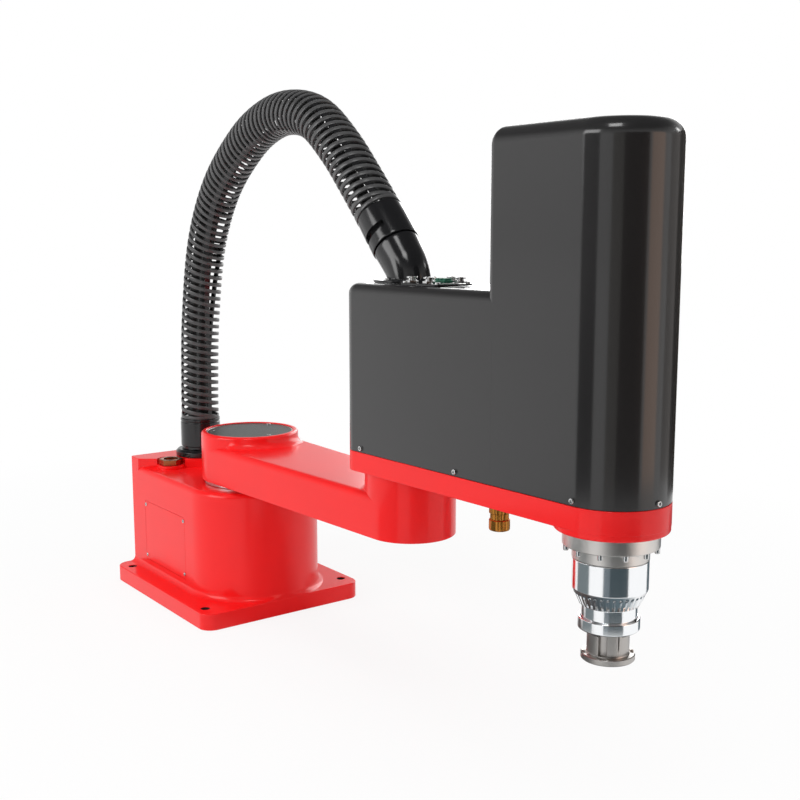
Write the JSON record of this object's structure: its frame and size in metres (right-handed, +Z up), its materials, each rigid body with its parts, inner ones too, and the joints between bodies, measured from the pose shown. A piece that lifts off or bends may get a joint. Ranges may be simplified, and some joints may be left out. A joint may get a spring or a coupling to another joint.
{
  "type": "four-axis robot arm",
  "caption": "Tabletop SCARA: bolted base, two horizontal arms, a lifting and turning quill with a tool flange, and an arched cable conduit from base to arm.",
  "frame": {"origin": "on the first joint's axis, in the plane of the base plate's underside", "axes": "+Z up, along all four axes; +X along the straightened arm, from the base to the quill"},
  "size_m": [0.6888, 0.182, 0.513],
  "materials": {
    "red_paint": "glossy red enamel",
    "black_cover": "dark moulded cover, satin to gloss",
    "black_plastic": "black plastic",
    "graphite": "dark grey cap",
    "blasted_aluminium": "bead-blasted",
    "chrome": "polished",
    "nickel": "nickel plated",
    "bearing_steel": "ground steel",
    "brass": "turned brass",
    "motor_black": "black",
    "belt_rubber": "timing belt",
    "connector_green": "green connector"
  },
  "bodies": {
    "base": {"base_casting": "red_paint", "base_side_panel": "red_paint", "base_brass_plug": "brass", "conduit_base_flange": "black_plastic", "conduit_base_sleeve": "black_plastic", "j1_servo_motor": "motor_black", "j1_reducer_housing": "bearing_steel", "cable_conduit": "black_plastic"},
    "first_arm": {"arm1_casting": "red_paint", "j1_cap": "graphite", "j1_output_flange": "bearing_steel", "j2_reducer_housing": "bearing_steel"},
    "second_arm": {"arm2_casting": "red_paint", "arm2_cover": "black_cover", "interface_panel": "black_plastic", "air_fitting_1": "nickel", "air_fitting_2": "nickel", "air_fitting_3": "nickel", "air_fitting_4": "nickel", "signal_connector": "connector_green", "brass_muffler": "brass", "drive_frame": "blasted_aluminium", "j2_output_flange": "bearing_steel", "j2_servo_motor": "motor_black", "rotation_servo_motor": "motor_black", "lift_servo_motor": "motor_black", "rotation_belt": "belt_rubber", "lift_belt": "belt_rubber", "elbow_flange": "black_plastic", "quill_bearing_flange": "blasted_aluminium", "quill_retaining_ring": "blasted_aluminium", "chrome_nose": "chrome"},
    "conduit_swivel": {"conduit_elbow": "black_plastic", "conduit_collar": "black_plastic"},
    "spline_nut": {"ball_spline_nut": "bearing_steel", "rotation_pulley": "blasted_aluminium"},
    "screw_nut": {"ball_screw_nut": "bearing_steel", "lift_pulley": "blasted_aluminium"},
    "rotation_rotor": {"rotation_motor_pulley": "blasted_aluminium"},
    "lift_rotor": {"lift_motor_pulley": "blasted_aluminium"},
    "quill": {"ball_screw_spline_shaft": "bearing_steel", "lower_stop_collar": "chrome", "upper_stop_collar": "nickel", "tool_flange": "nickel"}
  },
  "joints": [
    {"name": "first_axis", "type": "hinge", "parent": "base", "child": "first_arm", "pos_m": [0, 0, 0.131], "axis": [0, 0, 1], "range_deg": [-125, 125], "deforming": ["cable_conduit"]},
    {"name": "second_axis", "type": "hinge", "parent": "first_arm", "child": "second_arm", "pos_m": [0.275, 0, 0.187], "axis": [0, 0, 1], "range_deg": [-135, 135]},
    {"name": "conduit_swivel_axis", "type": "hinge", "parent": "second_arm", "child": "conduit_swivel", "pos_m": [0.275, 0, 0.345], "axis": [0, 0, 1], "range_deg": [-135, 135]},
    {"name": "rotation_axis", "type": "hinge", "parent": "second_arm", "child": "spline_nut", "pos_m": [0.5, 0, 0.2], "axis": [0, 0, 1], "range_deg": [-360, 360]},
    {"name": "lift_axis", "type": "slide", "parent": "spline_nut", "child": "quill", "axis": [0, 0, -1], "range_m": [0, 0.09]},
    {"name": "screw_nut_spin", "type": "hinge", "parent": "second_arm", "child": "screw_nut", "pos_m": [0.5, 0, 0.25], "axis": [0, 0, 1], "range_deg": [-1800, 1800]},
    {"name": "rotation_motor_spin", "type": "hinge", "parent": "second_arm", "child": "rotation_rotor", "pos_m": [0.36, 0, 0.21], "axis": [0, 0, 1], "range_deg": [-720, 720]},
    {"name": "lift_motor_spin", "type": "hinge", "parent": "second_arm", "child": "lift_rotor", "pos_m": [0.44, 0, 0.24], "axis": [0, 0, 1], "range_deg": [-3600, 3600]}
  ],
  "couplings": [
    {"joint": "conduit_swivel_axis", "follows": "second_axis", "ratio": -1},
    {"joint": "screw_nut_spin", "follows": "lift_axis", "rad_per_m": 314.16},
    {"joint": "lift_motor_spin", "follows": "lift_axis", "rad_per_m": 628.32},
    {"joint": "rotation_motor_spin", "follows": "rotation_axis", "ratio": 2}
  ]
}
